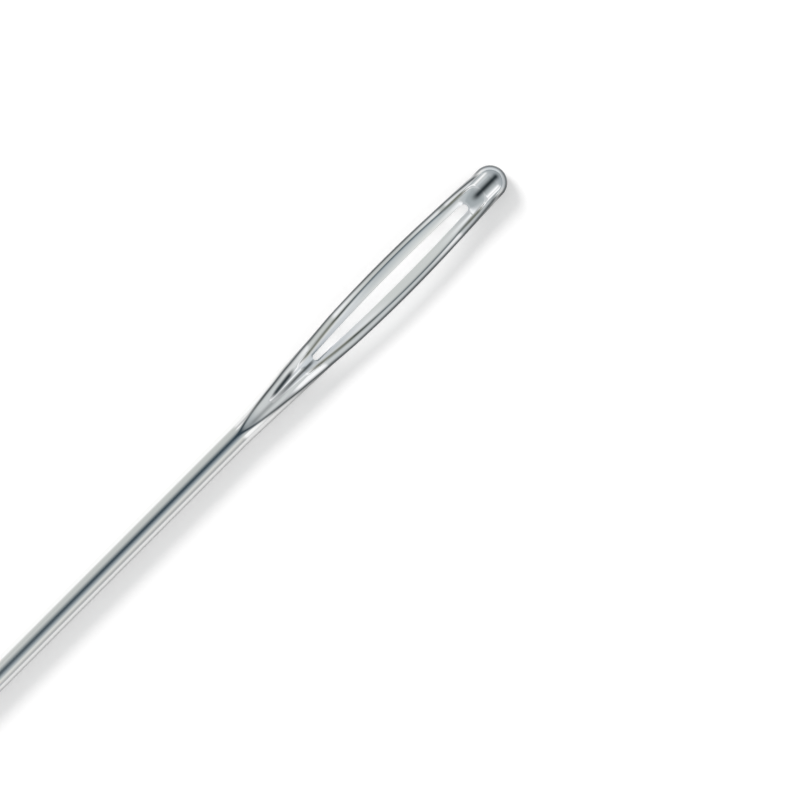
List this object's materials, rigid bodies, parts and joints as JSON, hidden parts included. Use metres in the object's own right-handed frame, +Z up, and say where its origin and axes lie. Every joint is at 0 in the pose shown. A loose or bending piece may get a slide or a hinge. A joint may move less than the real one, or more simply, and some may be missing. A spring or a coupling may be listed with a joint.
{
  "type": "tapestry needle",
  "caption": "One-piece steel needle with a blunt cone point, a round shank and a flattened, swollen head with a long bevelled eye.",
  "frame": {"origin": "middle of the needle's length, on the shank's axis in plan, at the height the shank rests on", "axes": "+X along the shank from the point to the eye end, +Y across the head's flats, +Z up out of the head's upper flat"},
  "size_m": [0.048, 0.002, 0.0013],
  "materials": {
    "polished_steel": "bright nickel-plated steel, polished lengthwise"
  },
  "bodies": {
    "root": {"tapestry_needle": "polished_steel"}
  },
  "joints": []
}
